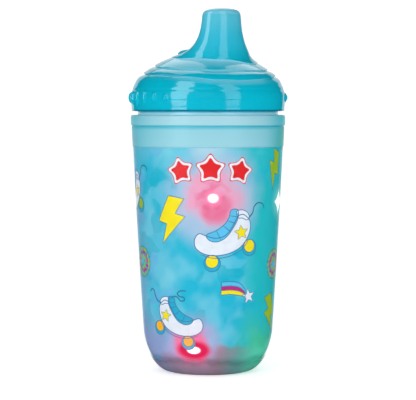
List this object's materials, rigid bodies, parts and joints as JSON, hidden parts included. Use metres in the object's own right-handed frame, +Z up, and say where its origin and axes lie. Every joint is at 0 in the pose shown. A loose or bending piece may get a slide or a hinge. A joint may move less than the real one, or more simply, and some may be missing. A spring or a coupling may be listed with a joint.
{
  "type": "sippy cup",
  "caption": "Insulated toddler sippy cup with a screw-on hard spout lid, pull-out flow valve, double wall with printed sleeve, and a push-button light module in the base.",
  "frame": {"origin": "centre of the foot ring, on the surface the cup stands on", "axes": "+Z up along the cup's axis; the drinking spout stands towards -Y; +X to the drinker's left when the spout faces them"},
  "size_m": [0.0782, 0.0762, 0.1785],
  "materials": {
    "lid_teal": "moulded polypropylene, glossy and faintly translucent teal",
    "silicone_clear": "soft translucent silicone",
    "silicone_white": "soft white silicone",
    "inner_clear": "translucent teal plastic",
    "shell_frosted": "translucent pale aqua plastic, glossy outside and lightly frosted",
    "printed_film": "printed translucent film, mottled confetti blue that turns green and violet",
    "flex_strip": "flexible polyimide circuit strip",
    "led_red": "epoxy LED lens, lit red",
    "led_green": "epoxy LED lens, lit green",
    "led_blue": "epoxy LED lens, blue",
    "board_green": "solder-masked circuit board",
    "chip_black": "moulded epoxy chip package",
    "resistor_ceramic": "small ceramic chip parts",
    "switch_metal": "pressed tin-plated steel",
    "switch_black": "black moulded plunger",
    "cell_steel": "nickel-plated steel cans",
    "clip_steel": "spring steel strip",
    "pad_gold": "gold-flashed copper contact",
    "module_white": "white moulded plastic",
    "button_soft": "soft pink silicone button",
    "spring_steel": "drawn spring wire",
    "cap_teal": "moulded teal plastic, satin",
    "screw_steel": "zinc-plated steel"
  },
  "bodies": {
    "cup": {"inner_cup": "inner_clear", "outer_shell": "shell_frosted", "print_sleeve": "printed_film", "led_strip_front": "flex_strip", "led_strip_right": "flex_strip", "led_strip_left": "flex_strip", "red_leds": "led_red", "green_leds": "led_green", "blue_leds": "led_blue", "circuit_board": "board_green", "controller_chip": "chip_black", "chip_resistors": "resistor_ceramic", "switch_body": "switch_metal", "button_cells": "cell_steel", "cell_clips": "clip_steel", "cell_pads": "pad_gold", "module_cover": "module_white", "module_tray": "module_white", "button_spring": "spring_steel", "base_cap": "cap_teal", "base_gasket": "silicone_white", "base_screws": "screw_steel"},
    "seal": {"lid_seal": "silicone_white"},
    "lid": {"spout_lid": "lid_teal"},
    "valve": {"flow_valve": "silicone_clear"},
    "button": {"light_button": "button_soft", "switch_plunger": "switch_black"}
  },
  "joints": [
    {"name": "lid_rise", "type": "slide", "parent": "cup", "child": "seal", "axis": [0, 0, 1], "range_m": [0, 0.0161]},
    {"name": "lid_turn", "type": "hinge", "parent": "seal", "child": "lid", "pos_m": [0, 0, 0.14], "axis": [0, 0, 1], "range_deg": [0, 720]},
    {"name": "valve_pull", "type": "slide", "parent": "lid", "child": "valve", "axis": [0, 0, -1], "range_m": [0, 0.012]},
    {"name": "button_press", "type": "slide", "parent": "cup", "child": "button", "axis": [0, 0, 1], "range_m": [0, 0.0012], "stiffness_N_per_m": 500, "springref_m": -0.0008, "deforming": ["button_spring"]}
  ],
  "couplings": [
    {"joint": "lid_rise", "follows": "lid_turn", "m_per_rad": 0.0012732}
  ]
}
